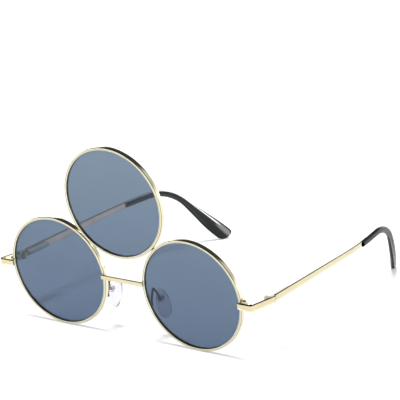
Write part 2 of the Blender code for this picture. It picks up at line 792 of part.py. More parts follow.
def mirror_tree(piece, parent):
    """Mirrors a left-hand frame or piece and what it carries."""
    if piece.type == "EMPTY":
        twin = mirror_frame(piece, parent)
        for child in list(piece.children):
            mirror_tree(child, twin)
    elif not piece.hide_render:
        mirror_piece(piece, parent)


def world_points():
    """Every piece's own points in world space, by piece name."""
    bpy.context.view_layer.update()
    graph = bpy.context.evaluated_depsgraph_get()
    found = {}
    for piece in bpy.data.collections["party_glasses"].objects:
        if piece.type != "MESH":
            continue
        shape = piece.evaluated_get(graph)
        points = np.empty(len(shape.data.vertices) * 3, np.float32)
        shape.data.vertices.foreach_get("co", points)
        world = np.array(shape.matrix_world)
        found[piece.name] = points.reshape(-1, 3) @ world[:3, :3].T + world[:3, 3]
    return found


def set_down(stand):
    """Leans the glasses until rims and tips touch the floor together, with the box centred on Y."""
    points = world_points()
    rims = np.vstack([points["rim_left"], points["rim_right"]])
    tips = np.vstack([points["temple_tip_left"], points["temple_tip_right"]])
    low = 0.0
    high = LEAN_LIMIT
    for _ in range(LEAN_STEPS):
        lean = (low + high) / 2
        turn = np.array((math.sin(lean), math.cos(lean)))
        rims_high = (rims[:, 1:] @ turn).min()
        tips_high = (tips[:, 1:] @ turn).min()
        if tips_high > rims_high:
            high = lean
        else:
            low = lean
    everything = np.vstack(list(points.values()))
    back = everything[:, 1] * math.cos(lean) - everything[:, 2] * math.sin(lean)
    stand.rotation_euler = (lean, 0.0, 0.0)
    stand.location = (0.0, -(back.min() + back.max()) / 2, -rims_high)
    print("lean", round(math.degrees(lean), 3), "at", [round(v, 6) for v in stand.location])


def build():
    clear_scene()
    make_finishes()
    stand = frame_at("stand", None, (0.0, 0.0, 0.0))
    front = frame_at("front", stand, (0.0, 0.0, 0.0))
    side = rim("rim_left", (HALF_SPAN, 0.0, 0.0), front, 0.0)
    lens("lens_left", side)
    closing_block("left", side, 0.0, RIM_RADIUS + BLOCK_WIDE / 2, -RIM_DEPTH / 2, hug=True)
    top = rim("rim_top", (0.0, 0.0, TOP_RISE), front, TOP_BLOCK_ANGLE)
    lens("lens_top", top)
    behind = -RIM_DEPTH - SEAT_GAP - BLOCK_DEEP / 2
    closing_block("top", top, TOP_BLOCK_ANGLE, RIM_RADIUS - BLOCK_WIDE / 2, behind, hug=False)
    bridge(front)
    endpiece_left = endpiece(front)
    hinge_height = LEG_TOP - LEG_TALL / 2 - math.tan(LEG_DROP) * (PIN_BACK + SEAT_GAP) + HINGE_RISE
    hinge = frame_at("hinge_left", front, (PIN_OUT, PIN_BACK, hinge_height), (-HINGE_DROP, 0.0, TOE_IN))
    hinge_leaf(hinge)
    hinge_screw(hinge)
    hinge_slider(hinge)
    spring_case(hinge)
    lock_ring(hinge)
    coil_spring(hinge)
    temple(hinge)
    temple_tip(hinge)
    pad = pad_frame(front)
    nose_pad(pad)
    pad_box(pad)
    pad_screw(pad)
    arm_left = pad_arm(front, pad.location)
    bpy.context.view_layer.update()
    for piece in (side, endpiece_left, hinge, pad, arm_left):
        mirror_tree(piece, front)
    set_down(stand)


build()
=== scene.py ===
import json
import math

import bpy
import numpy as np
from mathutils import Matrix, Vector


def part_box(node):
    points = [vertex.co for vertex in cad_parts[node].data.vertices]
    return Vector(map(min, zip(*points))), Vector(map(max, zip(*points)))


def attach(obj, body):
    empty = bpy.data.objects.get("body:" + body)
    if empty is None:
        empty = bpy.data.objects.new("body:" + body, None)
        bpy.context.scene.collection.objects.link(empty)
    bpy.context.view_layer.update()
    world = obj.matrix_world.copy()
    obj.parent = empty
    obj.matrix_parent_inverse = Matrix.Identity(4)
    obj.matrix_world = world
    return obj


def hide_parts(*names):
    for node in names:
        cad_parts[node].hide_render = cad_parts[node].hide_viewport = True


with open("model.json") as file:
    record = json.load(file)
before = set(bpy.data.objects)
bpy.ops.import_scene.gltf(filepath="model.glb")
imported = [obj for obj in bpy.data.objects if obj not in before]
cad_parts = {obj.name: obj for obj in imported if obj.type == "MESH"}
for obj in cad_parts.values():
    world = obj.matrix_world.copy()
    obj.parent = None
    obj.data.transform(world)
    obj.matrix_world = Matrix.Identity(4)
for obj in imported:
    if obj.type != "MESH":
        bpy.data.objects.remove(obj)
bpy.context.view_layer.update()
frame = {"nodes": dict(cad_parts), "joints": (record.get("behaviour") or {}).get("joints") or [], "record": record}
print("frame loaded:", len(frame["nodes"]), "nodes")

mm = 0.001


# Frames of the front, the left temple hinge and the left pad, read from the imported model;
# the rims' sizes come first because the front's frame is measured from them

rims = {
    "lensRadius": 24.5 * mm,   # radius of the opening
    "wall": 1.5 * mm,
    "depth": 2.4 * mm,
    "edgeRound": 0.42 * mm,    # rounding of the outer edges
    "faceCrown": 0.10 * mm,    # how far the front and back faces bulge
    "crownFrom": 0.12,         # share of the way across a face at which it bulges past flat
    "opened": 0.25 * mm,       # the faces' inner edge is broken back from the opening by this
    "lipRound": 0.18 * mm,     # rounding of that inner edge
    "groove": 0.85 * mm,       # depth of the vee groove from the opening's radius
    "grooveHalf": 0.5 * mm,    # half its width where it opens
    "split": 0.06 * mm,
    "steps": 300,
}


def unit(vector):
    vector = np.array(vector, float)
    return vector / np.linalg.norm(vector)


joints = {joint["name"]: joint for joint in frame["joints"]}
bridgeFace = frame["record"]["mounts"][0]

frontY = -unit(bridgeFace["axis"])
frontX = np.array((1.0, 0.0, 0.0))
frontAxes = np.array([frontX, frontY, np.cross(frontX, frontY)])
rimMiddle = np.array([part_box("rim_left"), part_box("rim_right")]).mean(axis=(0, 1))
frontPlace = rimMiddle - frontY * rims["depth"] / 2

hingePlace = np.array(joints["fold_left"]["pos_m"])
slideAxis = unit(joints["spring_left"]["axis"])
foldAxis = unit(joints["fold_left"]["axis"])
hingeAxes = np.array([np.cross(slideAxis, foldAxis), slideAxis, foldAxis])

padPlace = np.array(joints["pad_rock_left"]["pos_m"])


def turned(axis, degrees):
    return np.array(Matrix.Rotation(math.radians(degrees), 3, axis))


padTurn = {"lean": -8, "roll": -12, "yaw": 35}
padFrame = turned("Z", padTurn["yaw"]) @ turned("Y", padTurn["roll"]) @ turned("X", padTurn["lean"])
padAxes = padFrame.T @ frontAxes


def fromFront(points):
    return frontPlace + np.asarray(points, float) @ frontAxes


def fromHinge(points):
    return hingePlace + np.asarray(points, float) @ hingeAxes


def fromPad(points):
    return padPlace + np.asarray(points, float) @ padAxes


# Mesh making: every surface is a grid of points, row by row

def gridFaces(rows, columns):
    # quads between neighbouring rows and columns, wrapping round the columns
    row, column = np.meshgrid(np.arange(rows - 1), np.arange(columns), indexing="ij")
    nextColumn = (column + 1) % columns
    corners = (row * columns + column, row * columns + nextColumn,
               (row + 1) * columns + nextColumn, (row + 1) * columns + column)
    faces = np.stack(corners, axis=-1).reshape(-1, 4)
    across = np.stack([column, column + 1, column + 1, column], axis=-1) / columns
    along = np.stack([row, row, row + 1, row + 1], axis=-1) / (rows - 1)
    return faces, np.stack([along, across], axis=-1).reshape(-1, 2)


def signedVolume(points, faces):
    # sum of the tetrahedra between the middle and each triangle of the quads
    middle = points.mean(axis=0)
    a, b, c, d = (points[faces[:, k]] - middle for k in range(4))
    return ((a * np.cross(b, c)).sum() + (a * np.cross(c, d)).sum()) / 6


def skin(name, grid, body, node, material, slot, sharp=35):
    # a closed surface from a grid of points; the open ends are closed by a fan round their middle point
    rows, columns = grid.shape[:2]
    faces, uv = gridFaces(rows, columns)
    ends = np.stack([grid[0].mean(axis=0), grid[-1].mean(axis=0)])
    points = np.vstack([grid.reshape(-1, 3), ends])
    here = np.arange(columns)
    there = (here + 1) % columns
    middle = np.full(columns, rows * columns)
    lastRow = (rows - 1) * columns
    start = np.stack([there, here, middle, middle], axis=-1)
    last = np.stack([lastRow + here, lastRow + there, middle + 1, middle + 1], axis=-1)
    faces = np.vstack([faces, start, last])
    uv = np.vstack([uv, np.zeros((columns * 4, 2)), np.ones((columns * 4, 2))])
    if signedVolume(points, faces) < 0:
        faces = faces[:, ::-1]
        uv = uv.reshape(-1, 4, 2)[:, ::-1].reshape(-1, 2)
    # a fan's faces name their middle twice, last or first; the second mention is left out
    keep = np.ones(faces.shape, bool)
    keep[:, 3] = faces[:, 2] != faces[:, 3]
    keep[:, 0] = faces[:, 0] != faces[:, 1]
    mesh = bpy.data.meshes.new(name)
    mesh.from_pydata(points.tolist(), [], [face[k].tolist() for face, k in zip(faces, keep)])
    layer = mesh.uv_layers.new(name="along")
    layer.data.foreach_set("uv", uv[keep.ravel()].astype(np.float32).ravel())
    mesh.polygons.foreach_set("use_smooth", np.ones(len(mesh.polygons), bool))
    mesh.set_sharp_from_angle(angle=math.radians(sharp))
    mesh.materials.append(material)
    piece = bpy.data.objects.new(name, mesh)
    bpy.context.scene.collection.objects.link(piece)
    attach(piece, body)
    if node:
        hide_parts(node)
    return piece


mirrorX = np.array((-1.0, 1.0, 1.0))


def pair(name, grid, body, node, material, slot, **options):
    # the left piece, and the right one as its mirror image; {} stands for the side
    for side, flip in (("left", 1.0), ("right", mirrorX)):
        sideName = name + side.capitalize()
        sideNode = node and node.format(side)
        skin(sideName, grid * flip, body.format(side), sideNode, material, slot, **options)


def roundedBar(width, height, radius, arcSteps=5):
    # four corner arcs, right top first and anticlockwise, of a width by height rectangle;
    # sizes may be arrays, with one section for each entry
    width, height, radius = (np.asarray(v, float)[..., None] for v in (width, height, radius))
    across = []
    up = []
    for corner, (signX, signY) in enumerate(((1, 1), (-1, 1), (-1, -1), (1, -1))):
        angle = np.linspace(0, math.pi / 2, arcSteps + 1) + corner * math.pi / 2
        across.append(signX * (width / 2 - radius) + radius * np.cos(angle))
        up.append(signY * (height / 2 - radius) + radius * np.sin(angle))
    return np.stack([np.concatenate(across, axis=-1), np.concatenate(up, axis=-1)], axis=-1)


barEnd = {
    # a bar's end is rounded off by a few close sections
    "rows": np.array((0.0, 0.06, 0.16, 0.28)) * mm,    # how far in from the end they lie
    "draw": np.array((1.0, 0.42, 0.12)),               # shares of the edge rounding that they are drawn in by
    "tighten": 0.6,                                    # share of the draw that comes off the corners' radius
    "least": 0.05 * mm,
}


def drawnRadius(edge, draw):
    # the corners' radius, less a share of the draw and never below the least
    return np.maximum(edge - draw * barEnd["tighten"], barEnd["least"])


def carried(path, side, up, profile):
    # each profile point is its path point moved by its first size along side and its second along up
    profile = np.broadcast_to(profile, (len(path),) + profile.shape[-2:])
    return path[:, None] + side[:, None] * profile[..., :1] + up[:, None] * profile[..., 1:]


def pathFrames(path, upHint):
    # side and up square to the path's direction, with up as near to the hint as it can be
    forward = np.gradient(path, axis=0)
    forward /= np.linalg.norm(forward, axis=1, keepdims=True)
    side = np.cross(forward, np.broadcast_to(upHint, path.shape))
    side /= np.linalg.norm(side, axis=1, keepdims=True)
    return side, np.cross(side, forward)


# Materials

def newMaterial(name):
    material = bpy.data.materials.new(name)
    material.use_nodes = True
    tree = material.node_tree
    return material, tree, tree.nodes["Principled BSDF"]


def addNode(tree, kind, **inputs):
    node = tree.nodes.new(kind)
    for key, value in inputs.items():
        node.inputs[key.replace("_", " ")].default_value = value
    return node


def makeWander():
    # two noises of unlike size, mixed to one value around a half, and the fine one alone for bumps
    group = bpy.data.node_groups.new("wander", "ShaderNodeTree")
    face = group.interface
    face.new_socket("Place", in_out="INPUT", socket_type="NodeSocketVector")
    face.new_socket("Broad", in_out="INPUT", socket_type="NodeSocketFloat")
    face.new_socket("Fine", in_out="INPUT", socket_type="NodeSocketFloat")
    face.new_socket("Value", in_out="OUTPUT", socket_type="NodeSocketFloat")
    face.new_socket("Grain", in_out="OUTPUT", socket_type="NodeSocketFloat")
    inside = group.nodes.new("NodeGroupInput")
    outside = group.nodes.new("NodeGroupOutput")
    links = group.links
    noises = []
    for socket in ("Broad", "Fine"):
        noise = group.nodes.new("ShaderNodeTexNoise")
        noise.inputs["Detail"].default_value = 3
        links.new(inside.outputs["Place"], noise.inputs["Vector"])
        links.new(inside.outputs[socket], noise.inputs["Scale"])
        noises.append(noise)
    mix = group.nodes.new("ShaderNodeMix")
    mix.inputs["Factor"].default_value = 0.35
    links.new(noises[0].outputs["Fac"], mix.inputs["A"])
    links.new(noises[1].outputs["Fac"], mix.inputs["B"])
    links.new(mix.outputs["Result"], outside.inputs["Value"])
    links.new(noises[1].outputs["Fac"], outside.inputs["Grain"])
    return group


wander = makeWander()


def wanderIn(tree, broad, fine):
    node = tree.nodes.new("ShaderNodeGroup")
    node.node_tree = wander
    node.inputs["Broad"].default_value = broad
    node.inputs["Fine"].default_value = fine
    place = tree.nodes.new("ShaderNodeTexCoord")
    tree.links.new(place.outputs["Object"], node.inputs["Place"])
    return node


def ranged(tree, source, low, high, fromLow=0.3, fromHigh=0.7):
    # low where the source is fromLow, high where it is fromHigh, even between them and held beyond
    node = addNode(tree, "ShaderNodeMapRange", From_Min=fromLow, From_Max=fromHigh, To_Min=low, To_Max=high)
    tree.links.new(source, node.inputs["Value"])
    return node.outputs["Result"]


def computed(tree, operation, *sources):
    # one math node: the operation done on the sources, each a socket or a plain number
    node = tree.nodes.new("ShaderNodeMath")
    node.operation = operation
    for socket, source in zip(node.inputs, sources):
        if isinstance(source, float):
            socket.default_value = source
        else:
            tree.links.new(source, socket)
    return node.outputs[0]


def blended(tree, factor, first, second):
    # first where the factor is nothing, second where it is one; sockets 6, 7 and 2 are the colour ones
    node = tree.nodes.new("ShaderNodeMix")
    node.data_type = "RGBA"
    for socket, colour in ((node.inputs[6], first), (node.inputs[7], second)):
        if isinstance(colour, tuple):
            socket.default_value = (*colour, 1.0)
        else:
            tree.links.new(colour, socket)
    tree.links.new(factor, node.inputs["Factor"])
    return node.outputs[2]


def bumped(tree, shader, height, strength, distance):
    bump = addNode(tree, "ShaderNodeBump", Strength=strength, Distance=distance)
    tree.links.new(height, bump.inputs["Height"])
    tree.links.new(bump.outputs["Normal"], shader.inputs["Normal"])


def mapPlace(tree):
    # the two directions of the piece's own map, X along its rows and Y round its columns
    around = tree.nodes.new("ShaderNodeUVMap")
    around.uv_map = "along"
    split = tree.nodes.new("ShaderNodeSeparateXYZ")
    tree.links.new(around.outputs["UV"], split.inputs["Vector"])
    return split.outputs


def bandMask(tree, start, end, soft, axis="Y", slope=0.0):
    # one from start to end in a direction of the piece's own map, falling to nothing over the soft width;
    # with a slope both rise by it times the first direction
    place = mapPlace(tree)
    along = computed(tree, "MULTIPLY_ADD", place["X"], -slope, place[axis])
    rising = ranged(tree, along, 0.0, 1.0, start - soft, start)
    falling = ranged(tree, along, 1.0, 0.0, end, end + soft)
    return computed(tree, "MULTIPLY", rising, falling)


metalGrain = {
    "polished": {"broad": 140.0, "fine": 2600.0},    # noise scales
    "satin": {"broad": 200.0, "fine": 3000.0},
    "machined": {"broad": 300.0, "fine": 3000.0},
    "bump": 0.05,
    "height": 0.02 * mm,
}


def makeMetal(name, grain, look):
    # two tones wander into each other; each band of painted light or shade is start, end, soft width and colour in
    # the piece's map
    material, tree, shader = newMaterial(name)
    noise = wanderIn(tree, **metalGrain[grain])
    tone = ranged(tree, noise.outputs["Value"], 0.0, 1.0)
    colour = blended(tree, tone, look["pale"], look["deep"])
    for start, end, soft, tint in look.get("paintedLight", ()):
        colour = blended(tree, bandMask(tree, start, end, soft), colour, tint)
    tree.links.new(colour, shader.inputs["Base Color"])
    tree.links.new(ranged(tree, noise.outputs["Value"], *look["roughness"]), shader.inputs["Roughness"])
    shader.inputs["Metallic"].default_value = look.get("metallic", 1.0)
    bumped(tree, shader, noise.outputs["Grain"], metalGrain["bump"], metalGrain["height"])
    return material


def makeLens(look):
    # a clear tint that is paler towards the top of the glasses, with painted shade at the bevel
    material, tree, shader = newMaterial("smokeLens")
    place = tree.nodes.new("ShaderNodeTexCoord")
    split = tree.nodes.new("ShaderNodeSeparateXYZ")
    tree.links.new(place.outputs["Object"], split.inputs["Vector"])
    height = ranged(tree, split.outputs["Z"], 0.0, 1.0, look["low"], look["high"])
    tint = blended(tree, height, look["foot"], look["head"])
    # the rows run from the middle to the edge and back, so the bevel lies half-way along
    fromBevel = computed(tree, "ABSOLUTE", computed(tree, "SUBTRACT", mapPlace(tree)["X"], 0.5))
    bevelShade = ranged(tree, fromBevel, 1.0, 0.0, look["bevel"], look["bevel"] + look["soft"])
    tree.links.new(blended(tree, bevelShade, tint, look["edge"]), shader.inputs["Base Color"])
    noise = wanderIn(tree, look["broad"], look["fine"])
    tree.links.new(ranged(tree, noise.outputs["Value"], *look["roughness"]), shader.inputs["Roughness"])
    shader.inputs["Transmission Weight"].default_value = 1.0
    shader.inputs["IOR"].default_value = look["ior"]
    return material


def makePlastic(name, look):
    # each band of painted highlight is start, end, soft width and slope round the piece, its first and last row,
    # and its colour
    material, tree, shader = newMaterial(name)
    noise = wanderIn(tree, look["broad"], look["fine"])
    tone = ranged(tree, noise.outputs["Value"], 0.0, 1.0)
    colour = blended(tree, tone, look["dark"], look["light"])
    for start, end, soft, slope, rowStart, rowEnd, tint in look.get("paintedLight", ()):
        around = bandMask(tree, start, end, soft, slope=slope)
        along = bandMask(tree, rowStart, rowEnd, look["rowSoft"], axis="X")
        colour = blended(tree, computed(tree, "MULTIPLY", around, along), colour, tint)
    tree.links.new(colour, shader.inputs["Base Color"])
    tree.links.new(ranged(tree, noise.outputs["Value"], *look["roughness"]), shader.inputs["Roughness"])
    shader.inputs["IOR"].default_value = look["ior"]
    shader.inputs["Transmission Weight"].default_value = look["clear"]
    bumped(tree, shader, noise.outputs["Grain"], look["bump"], look["height"])
    return material


goldMetal = makeMetal("goldMetal", "polished", {
    "pale": (0.88, 0.81, 0.57), "deep": (0.81, 0.71, 0.45), "roughness": (0.10, 0.20),
    "paintedLight": (
        (0.78, 0.963, 0.012, (1.0, 0.965, 0.86)),     # painted reflection of the floor, paler along the lower outer edge
        (0.42, 0.53, 0.02, (0.98, 0.66, 0.51)),       # painted reflection, warmer on the inner face
    ),
})
rimGold = makeMetal("rimGold", "polished", {
    # paler than the temples' gold: a lit copy of the same gilt, painted light
    "pale": (1.0, 0.955, 0.75), "deep": (0.96, 0.90, 0.66), "roughness": (0.08, 0.18),
    "paintedLight": (
        (0.200, 0.240, 0.012, (0.16, 0.12, 0.06)),    # painted shade along the line where the lip meets the face
        (0.360, 0.425, 0.015, (0.52, 0.44, 0.25)),    # painted dark reflection along the front's outer edge
    ),
})
cornerGold = makeMetal("cornerGold", "polished", {
    # a little darker than the temples' gold: a shaded copy of the same gilt, painted shade
    "pale": (0.86, 0.78, 0.50), "deep": (0.80, 0.71, 0.43), "roughness": (0.08, 0.18),
    "paintedLight": (
        (0.78, 0.963, 0.012, (1.0, 0.97, 0.84)),      # painted reflection of the floor, paler along the lower outer edge
        (0.06, 0.235, 0.02, (0.05, 0.04, 0.01)),      # painted dark reflection, near black along the upper outer edge
    ),
})
bridgeGold = makeMetal("bridgeGold", "polished", {
    "pale": (0.90, 0.82, 0.56), "deep": (0.83, 0.73, 0.45), "roughness": (0.10, 0.20),
    "paintedLight": ((0.06, 0.235, 0.02, (0.22, 0.16, 0.07)),),    # painted dark reflection, brown along the upper front edge
})
satinGold = makeMetal("satinGold", "satin", {
    "pale": (0.86, 0.80, 0.62), "deep": (0.80, 0.72, 0.52), "roughness": (0.34, 0.46), "metallic": 0.45,
})
litPaleGold = makeMetal("litPaleGold", "satin", {
    # near white: a lit copy of the gilt, painted reflection of the white around it, for spring cases and closing
    # blocks
    "pale": (0.94, 0.90, 0.78), "deep": (0.88, 0.83, 0.70), "roughness": (0.30, 0.42), "metallic": 0.35,
    "paintedLight": ((0.30, 0.42, 0.01, (1.0, 1.0, 1.0)),),        # a painted highlight, a bright line along the upper inner edge
})
shadedGold = makeMetal("shadedGold", "satin", {
    # painted shade: a dark copy of the gilt for the pad arms, the pad screws and the first solder lump
    "pale": (0.17, 0.14, 0.08), "deep": (0.10, 0.08, 0.045), "roughness": (0.10, 0.20),
})
springSteel = makeMetal("springSteel", "machined", {
    "pale": (0.62, 0.61, 0.59), "deep": (0.48, 0.47, 0.46), "roughness": (0.22, 0.34),
})
shadedScrewMetal = makeMetal("shadedScrewMetal", "machined", {
    # painted shade: dark, so the closing screws' heads read as shaded dots
    "pale": (0.42, 0.35, 0.20), "deep": (0.26, 0.21, 0.13), "roughness": (0.25, 0.40),
})
lensTint = makeLens({
    "low": 0.0, "high": 0.088,      # heights above the floor, in metres, of the two tints
    "foot": (0.070, 0.109, 0.181), "head": (0.136, 0.188, 0.247),
    # the edge colour is painted shade at the lens bevel
    "bevel": 0.019, "soft": 0.008, "edge": (0.004, 0.004, 0.005),
    "roughness": (0.0, 0.02), "ior": 1.45, "broad": 60.0, "fine": 900.0,
})
tipBlack = makePlastic("tipBlack", {
    "dark": (0.006, 0.007, 0.007), "light": (0.014, 0.015, 0.015), "roughness": (0.16, 0.26), "ior": 1.36,
    "clear": 0.0, "bump": 0.10, "height": 0.03 * mm, "broad": 90.0, "fine": 2400.0,
    "rowSoft": 0.05,
    "paintedLight": (
        (0.236, 0.268, 0.020, 0.17, 0.28, 0.94, (0.95, 0.96, 0.96)),    # painted highlight, pale along the upper inner ridge
        (0.235, 0.300, 0.050, 0.17, 0.82, 0.93, (0.24, 0.25, 0.25)),    # painted highlight over the paddle's shoulder
        (0.845, 0.865, 0.025, 0.0, 0.55, 0.94, (0.34, 0.35, 0.35)),     # painted highlight along the lower outer ridge
    ),
})
padClear = makePlastic("padClear", {
    "dark": (0.78, 0.77, 0.86), "light": (0.86, 0.85, 0.92), "roughness": (0.05, 0.12), "ior": 1.28,
    "clear": 0.90, "bump": 0.05, "height": 0.03 * mm, "broad": 200.0, "fine": 1800.0,
})
print("materials made")


# Rims and lenses

def rimProfile():
    # radius and height round the wire: crowned faces, rounded edges and the vee groove;
    # the crown is a parabola over the share of the way across the face
    outer = rims["lensRadius"] + rims["wall"]
    inner = rims["lensRadius"] + rims["opened"]
    depth = rims["depth"]
    corner = rims["edgeRound"]
    small = rims["lipRound"]
    angle = np.linspace(0, math.pi / 2, 7)
    frontInner = np.stack([inner + small - small * np.cos(angle), small * np.sin(angle) - small], axis=-1)
    frontOuter = np.stack([outer - corner + corner * np.sin(angle), corner * np.cos(angle) - corner], axis=-1)
    share = np.linspace(0, 1, 9)[1:-1]
    crown = frontInner[-1] + (frontOuter[0] - frontInner[-1]) * share[:, None]
    front = np.vstack([frontInner, crown, frontOuter])
    lift = np.clip((front[:, 0] - inner) / (outer - inner), 0, 1)
    flat = 4 * rims["crownFrom"] * (1 - rims["crownFrom"])
    front[:, 1] += rims["faceCrown"] * (4 * lift * (1 - lift) - flat)
    rear = front[::-1] * (1, -1) - (0, depth)
    floorRadius = rims["lensRadius"] + rims["groove"]
    half = rims["grooveHalf"]
    groove = np.array([(inner, half), (floorRadius, 0.0), (inner, -half)]) - (0, depth / 2)
    return np.vstack([front, rear, groove[::-1]])


def makeRim(name, centre, splitAngle, node):
    # the wire's profile carried round its centre, from one side of the split to the other
    profile = rimProfile()
    half = rims["split"] / 2 / rims["lensRadius"]
    angle = np.linspace(splitAngle + half, splitAngle + 2 * math.pi - half, rims["steps"])
    out = np.stack([np.cos(angle), np.zeros_like(angle), np.sin(angle)], axis=-1)
    back = np.array((0.0, -1.0, 0.0))
    grid = centre + out[:, None] * profile[None, :, :1] + back * profile[None, :, 1:]
    skin(name, fromFront(grid), "front", node, rimGold, "gilt", sharp=40)


lenses = {
    "thickness": 1.3 * mm,
    "dome": 0.5 * mm,
    "play": 0.06 * mm,   # between the lens edge and the rim's opening
    "vee": 0.55 * mm,    # how far the edge stands into the groove
    "rings": 26,
    "steps": 180,
}


def makeLensDisc(name, centre, node):
    # two domed faces with a vee edge between them; the dome falls with the square of the radius
    edge = rims["lensRadius"] + rims["opened"] - lenses["play"]
    share = np.linspace(0.02, 1, lenses["rings"]) ** 0.8
    sag = lenses["dome"] * (1 - share ** 2)
    middle = rims["depth"] / 2
    front = np.stack([edge * share, lenses["thickness"] / 2 + sag - middle], axis=-1)
    rear = np.stack([edge * share, sag - lenses["thickness"] / 2 - middle], axis=-1)[::-1]
    profile = np.vstack([front, [(rims["lensRadius"] + lenses["vee"], -middle)], rear])
    angle = np.linspace(0, 2 * math.pi, lenses["steps"], endpoint=False)
    out = np.stack([np.cos(angle), np.zeros_like(angle), np.sin(angle)], axis=-1)
    grid = centre + out[None] * profile[:, None, :1] - np.array((0.0, 1.0, 0.0)) * profile[:, None, 1:]
    disc = skin(name, fromFront(grid), "front", node, lensTint, "smoke_lens", sharp=25)
    disc.visible_shadow = False    # a tinted disc would lay a broad grey patch on the white floor


halfSpan = 36.1 * mm     # from the middle to each lower lens
rimGap = 0.3 * mm        # between the top rim and the lower ones
outerRadius = rims["lensRadius"] + rims["wall"]
topRise = math.sqrt((2 * outerRadius + rimGap) ** 2 - halfSpan ** 2)
topSplit = math.radians(-54)
centres = {
    "Left": np.array((halfSpan, 0.0, 0.0)),
    "Right": np.array((-halfSpan, 0.0, 0.0)),
    "Top": np.array((0.0, 0.0, topRise)),
}
for word, splitAngle in (("Left", 0.0), ("Right", math.pi), ("Top", topSplit)):
    makeRim("rim" + word, centres[word], splitAngle, "rim_" + word.lower())
    makeLensDisc("lens" + word, centres[word], "lens_" + word.lower())
print("rims and lenses made")


# Bridge bar

bridge = {
    "half": 11.3 * mm,
    "tall": 2.1 * mm,
    "thick": 1.0 * mm,
    "up": 1.7 * mm,
    "gap": 0.3 * mm,     # between the bar and the rims behind it
    "edge": 0.30 * mm,
    "rows": 60,
}


def makeBridge():
    # a rounded rectangle carried straight across, drawn in at both ends along a quarter circle
    rows = bridge["rows"]
    share = 0.5 - 0.5 * np.cos(np.linspace(0, math.pi, rows))
    span = (share - 0.5) * 2 * bridge["half"]
    fromEnd = bridge["half"] - np.abs(span)
    dip = np.clip(1 - fromEnd / bridge["edge"], 0, 1)
    draw = bridge["edge"] * (1 - np.sqrt(1 - dip ** 2))
    forward = -bridge["gap"] - bridge["thick"] / 2
    path = np.stack([span, np.full(rows, forward), np.full(rows, bridge["up"])], axis=-1)
    thick = bridge["thick"] - 2 * draw
    tall = bridge["tall"] - 2 * draw
    profile = roundedBar(thick, tall, np.minimum(bridge["edge"], thick / 2.05))
    side = np.broadcast_to((0.0, -1.0, 0.0), path.shape)
    up = np.broadcast_to((0.0, 0.0, 1.0), path.shape)
    grid = fromFront(carried(path, side, up, profile))
    skin("bridgeBar", grid, "front", "bridge_bar", bridgeGold, "gilt")


makeBridge()


# Endpieces

endpiece = {
    "thick": 1.3 * mm,
    "legInner": 60.9 * mm,
    "cornerOut": 68.75 * mm,
    "cornerRadius": 1.7 * mm,
    "fuller": 1.2 * mm,             # extra thickness inside the bend
    "tall": (2.8 * mm, 3.7 * mm),   # at the inner end, and from the corner on
    "top": 1.75 * mm,
    "dropDegrees": 11,
    "seam": 16.15 * mm,             # how far back it ends
    "gap": 0.3 * mm,                # between it and the rim behind it
    "edge": 0.38 * mm,
    "frontRun": 1.2 * mm,           # last straight section in from the inner end, and from the far one
    "sideRun": 4.0 * mm,
}


def makeEndpiece():
    # a rounded rectangle carried along a right-angled bend, sinking as it runs back;
    # the bend is made fuller on its inside along half a sine
    part = endpiece
    thick = part["thick"]
    middleFront = -part["gap"] - thick / 2
    middleOut = part["cornerOut"] - thick / 2
    radius = part["cornerRadius"] - thick / 2
    centre = (part["cornerOut"] - part["cornerRadius"], -part["gap"] - thick + part["cornerRadius"])
    bendRows = 17
    endRows = len(barEnd["rows"]) + 1
    angle = np.linspace(-math.pi / 2, 0, bendRows)
    arc = np.stack([centre[0] + radius * np.cos(angle), centre[1] + radius * np.sin(angle)], axis=-1)
    nearEnd = part["legInner"] + np.append(barEnd["rows"], part["frontRun"])
    farEnd = part["seam"] - np.append(barEnd["rows"], part["sideRun"])[::-1]
    first = np.stack([nearEnd, np.full(endRows, middleFront)], axis=-1)
    last = np.stack([np.full(endRows, middleOut), farEnd], axis=-1)
    flat = np.vstack([first, arc, last])
    fuller = np.zeros(len(flat))
    fuller[endRows:endRows + bendRows] = part["fuller"] * np.sin(np.linspace(0, math.pi, bendRows))
    sink = math.tan(math.radians(part["dropDegrees"])) * np.maximum(0, flat[:, 1] + part["gap"])
    tall = np.interp(flat[:, 0], (part["legInner"], centre[0]), part["tall"])
    path = np.column_stack([flat, part["top"] - tall / 2 - sink])
    heading = np.concatenate([np.zeros(endRows), angle + math.pi / 2, np.full(endRows, math.pi / 2)])
    side = np.stack([np.sin(heading), -np.cos(heading), np.zeros_like(heading)], axis=-1)
    path = path - side * fuller[:, None] / 2
    thick = thick + fuller
    up = np.broadcast_to((0.0, 0.0, 1.0), path.shape)
    draw = np.zeros(len(path))
    draw[:3] = barEnd["draw"] * part["edge"]
    draw[-3:] = draw[2::-1]
    profile = roundedBar(thick - 2 * draw, tall - 2 * draw, drawnRadius(part["edge"], draw))
    grid = fromFront(carried(path, side, up, profile))
    pair("endpiece", grid, "front", "endpiece_{}", cornerGold, "gilt")


makeEndpiece()

solder = {
    # middles and half sizes in the front's frame, in millimetres: at the top rim, the bar and the endpiece
    "places": ((18.05, 1.2, 18.9), (10.75, -0.15, 1.7), (61.6, -0.15, 0.35)),
    "half": ((0.6, 0.8, 0.6), (0.5, 0.25, 1.25), (0.55, 0.25, 1.5)),
}


def makeSolder():
    # small soft lumps, stretched balls, that fill the gaps where wire and bar are joined
    polar = np.linspace(0.05, math.pi - 0.05, 17)[:, None]
    around = np.arange(24)[None] * 2 * math.pi / 24
    ball = np.stack([np.sin(polar) * np.cos(around), np.sin(polar) * np.sin(around),
                     np.cos(polar) * np.ones_like(around)], axis=-1)
    for number, (place, half) in enumerate(zip(solder["places"], solder["half"])):
        grid = fromFront((ball * half + place) * mm)
        # the first lump, where the top rim meets a lower one, is dark gold: painted shade in that crevice
        material = shadedGold if number == 0 else cornerGold
        pair("solder" + str(number + 1), grid, "front", None, material, "gilt")


makeSolder()
print("bridge and endpieces made")


# Temples and their sleeves, along one line in the hinge's frame

